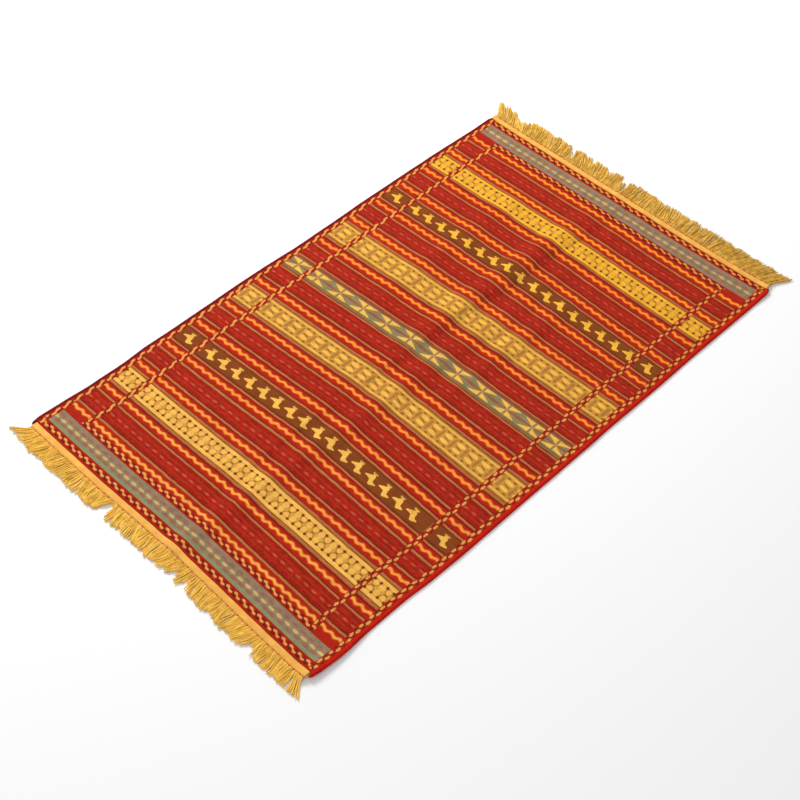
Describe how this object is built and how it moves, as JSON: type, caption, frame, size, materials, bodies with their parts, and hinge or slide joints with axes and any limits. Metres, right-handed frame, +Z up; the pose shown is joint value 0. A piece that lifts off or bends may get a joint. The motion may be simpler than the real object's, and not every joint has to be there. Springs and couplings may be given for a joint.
{
  "type": "fringed flat-woven rug",
  "caption": "Rectangular flat-woven rug with patterned cross bands, a tape sewn across each short end and a yarn fringe, lying flat.",
  "frame": {"origin": "under the middle of the rug, on the surface it lies on", "axes": "+X along the rug's length, +Y across its width, +Z up out of the patterned face"},
  "size_m": [1.378, 0.766, 0.0114],
  "materials": {
    "banded_wool": "matte woven wool with coloured cross bands",
    "gold_yarn": "soft twisted yarn with a slight sheen"
  },
  "bodies": {
    "root": {"woven_cloth": "banded_wool", "near_tape_fringe": "gold_yarn", "far_tape_fringe": "gold_yarn"}
  },
  "joints": []
}
